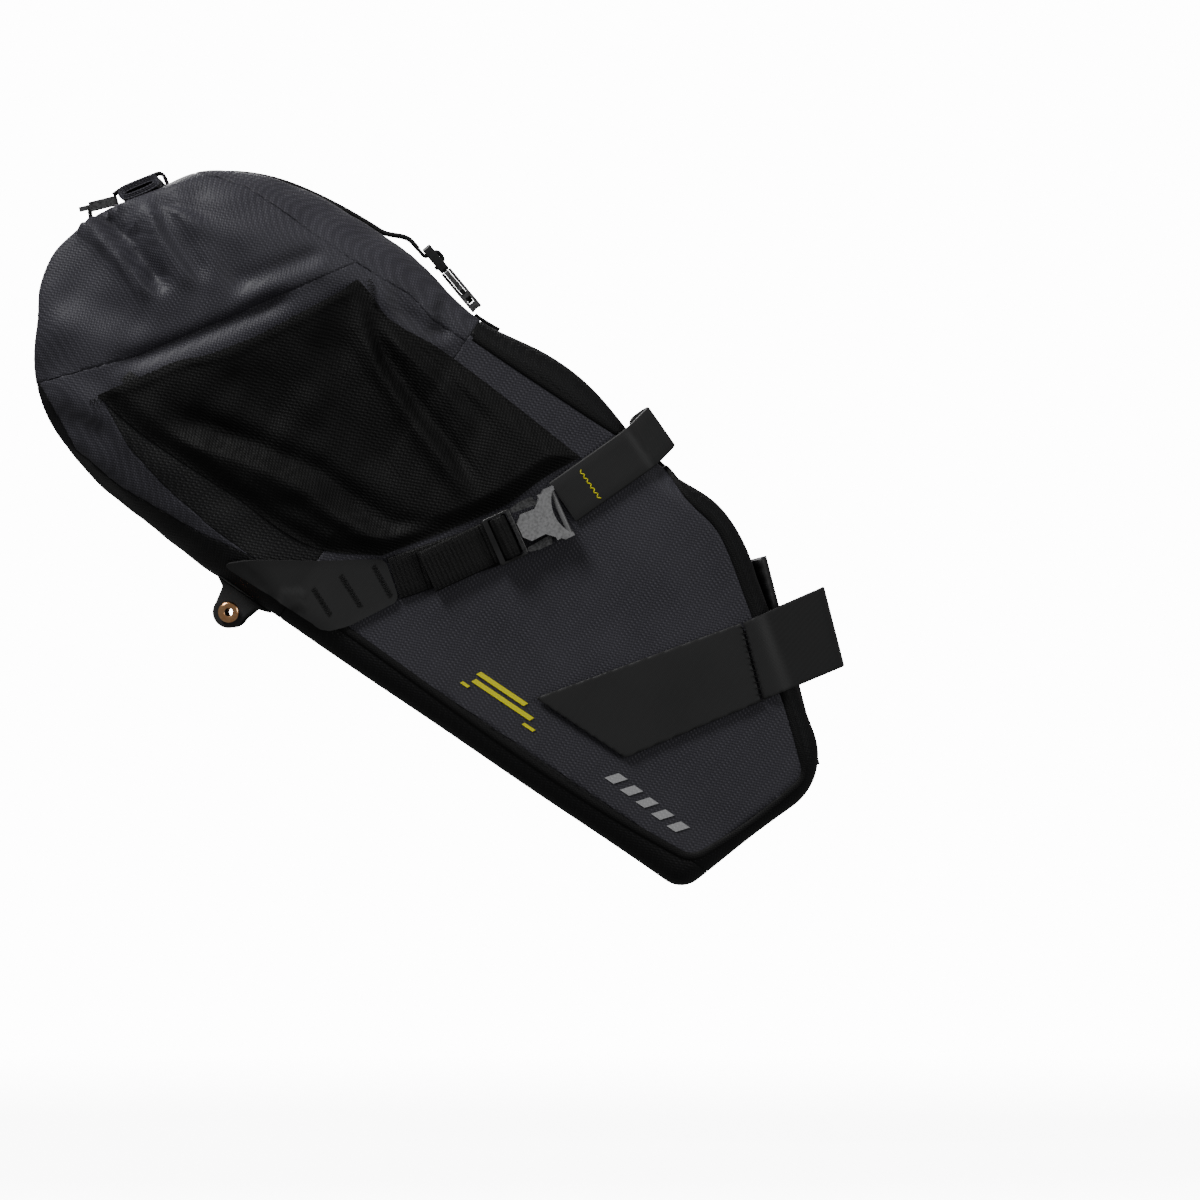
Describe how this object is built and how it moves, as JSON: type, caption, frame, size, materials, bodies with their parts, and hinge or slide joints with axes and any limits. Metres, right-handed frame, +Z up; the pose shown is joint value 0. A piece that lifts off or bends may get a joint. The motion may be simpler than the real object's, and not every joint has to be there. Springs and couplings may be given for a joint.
{
  "type": "saddle bag",
  "caption": "Roll-top saddle bag with a stiffened boot, soft sleeve, seatpost strap and side-release straps over the saddle rails.",
  "frame": {"origin": "on the seatpost's axis at the middle of the seatpost strap", "axes": "+X forward along the bicycle, +Y to its left, +Z up"},
  "size_m": [0.3713, 0.1646, 0.3279],
  "materials": {
    "laminate": "matt coated laminate with a fine weave",
    "ripstop": "black ripstop stretch panel",
    "coated_strap": "smooth coated fabric",
    "binding_tape": "woven binding tape",
    "webbing": "ribbed woven webbing",
    "buckle_plastic": "moulded acetal",
    "stiffener_plastic": "thin sheet",
    "pad_rubber": "grippy rubberised pad",
    "hook_tape": "hook-and-loop tape",
    "eyelet_metal": "copper-coloured anodised eyelet"
  },
  "bodies": {
    "root": {"base_panel": "laminate", "base_stiffener": "stiffener_plastic", "boot_side_left": "laminate", "boot_side_right": "laminate", "boot_top_panel": "laminate", "edge_binding_left": "binding_tape", "edge_binding_right": "binding_tape", "eyelet_left": "eyelet_metal", "eyelet_right": "eyelet_metal", "eyelet_tab_left": "laminate", "eyelet_tab_right": "laminate", "hook_patch": "hook_tape", "nose_panel": "laminate", "rail_strap_left": "coated_strap", "rail_strap_right": "coated_strap", "rear_anchor_webbing": "webbing", "roll_collar": "laminate", "seatpost_pad": "pad_rubber", "seatpost_strap": "coated_strap", "side_buckle_female_left": "buckle_plastic", "side_buckle_female_right": "buckle_plastic", "side_stiffener_left": "stiffener_plastic", "side_stiffener_right": "stiffener_plastic", "side_webbing_left": "webbing", "side_webbing_right": "webbing", "sleeve_side_left": "laminate", "sleeve_side_right": "laminate", "sleeve_top_panel": "laminate", "sleeve_underside": "laminate", "strap_patch_left": "coated_strap", "strap_patch_right": "coated_strap", "top_anchor_webbing": "webbing", "top_buckle_female": "buckle_plastic", "top_strap": "webbing", "wing_left": "ripstop", "wing_right": "ripstop"},
    "male_right": {"side_buckle_male_right": "buckle_plastic", "side_webbing_tail_right": "webbing"},
    "upper_arm_right": {"side_buckle_upper_arm_right": "buckle_plastic"},
    "lower_arm_right": {"side_buckle_lower_arm_right": "buckle_plastic"},
    "male_left": {"side_buckle_male_left": "buckle_plastic", "side_webbing_tail_left": "webbing"},
    "upper_arm_left": {"side_buckle_upper_arm_left": "buckle_plastic"},
    "lower_arm_left": {"side_buckle_lower_arm_left": "buckle_plastic"},
    "top_male": {"top_buckle_male": "buckle_plastic", "top_webbing_loop": "webbing"},
    "top_arm_a": {"top_buckle_arm_a": "buckle_plastic"},
    "top_arm_b": {"top_buckle_arm_b": "buckle_plastic"},
    "flap": {"strap_flap": "coated_strap"},
    "roll": {"rolled_mouth": "laminate", "hem_stiffener": "stiffener_plastic", "top_strap_end": "webbing", "rear_adjuster": "buckle_plastic"}
  },
  "joints": [
    {"name": "release_right", "type": "slide", "parent": "root", "child": "male_right", "axis": [-0.9079, -0.0615, -0.4146], "range_m": [0, 0.02], "deforming": ["side_buckle_upper_arm_right", "side_buckle_lower_arm_right"]},
    {"name": "squeeze_upper_right", "type": "hinge", "parent": "male_right", "child": "upper_arm_right", "pos_m": [-0.13365, -0.05866, 0.05954], "axis": [-0.0972, 0.9931, 0.0655], "range_deg": [0, 7], "stiffness_Nm_per_rad": 0.02},
    {"name": "squeeze_lower_right", "type": "hinge", "parent": "male_right", "child": "lower_arm_right", "pos_m": [-0.12566, -0.05671, 0.04175], "axis": [0.0972, -0.9931, -0.0655], "range_deg": [0, 7], "stiffness_Nm_per_rad": 0.02},
    {"name": "release_left", "type": "slide", "parent": "root", "child": "male_left", "axis": [-0.9079, 0.0615, -0.4146], "range_m": [0, 0.02], "deforming": ["side_buckle_upper_arm_left", "side_buckle_lower_arm_left"]},
    {"name": "squeeze_upper_left", "type": "hinge", "parent": "male_left", "child": "upper_arm_left", "pos_m": [-0.13365, 0.05866, 0.05954], "axis": [0.0972, 0.9931, -0.0655], "range_deg": [0, 7], "stiffness_Nm_per_rad": 0.02},
    {"name": "squeeze_lower_left", "type": "hinge", "parent": "male_left", "child": "lower_arm_left", "pos_m": [-0.12566, 0.05671, 0.04175], "axis": [-0.0972, -0.9931, 0.0655], "range_deg": [0, 7], "stiffness_Nm_per_rad": 0.02},
    {"name": "release_top", "type": "slide", "parent": "root", "child": "top_male", "axis": [-0.6393, 0, 0.769], "range_m": [0, 0.02], "deforming": ["top_buckle_arm_a", "top_buckle_arm_b"]},
    {"name": "squeeze_top_a", "type": "hinge", "parent": "top_male", "child": "top_arm_a", "pos_m": [-0.16408, 0.0098, 0.1688], "axis": [-0.769, 0, -0.6393], "range_deg": [0, 7], "stiffness_Nm_per_rad": 0.02},
    {"name": "squeeze_top_b", "type": "hinge", "parent": "top_male", "child": "top_arm_b", "pos_m": [-0.16408, -0.0098, 0.1688], "axis": [0.769, 0, 0.6393], "range_deg": [0, 7], "stiffness_Nm_per_rad": 0.02},
    {"name": "peel_strap", "type": "hinge", "parent": "root", "child": "flap", "pos_m": [-0.02444, -0.04106, -0.01017], "axis": [-0.2454, -0.0877, 0.9654], "range_deg": [0, 110]},
    {"name": "unroll", "type": "hinge", "parent": "root", "child": "roll", "pos_m": [-0.29416, 0, 0.21057], "axis": [0, 1, 0], "range_deg": [0, 100]}
  ],
  "couplings": [
    {"joint": "squeeze_lower_right", "follows": "squeeze_upper_right", "ratio": 1},
    {"joint": "squeeze_lower_left", "follows": "squeeze_upper_left", "ratio": 1},
    {"joint": "squeeze_top_b", "follows": "squeeze_top_a", "ratio": 1}
  ]
}
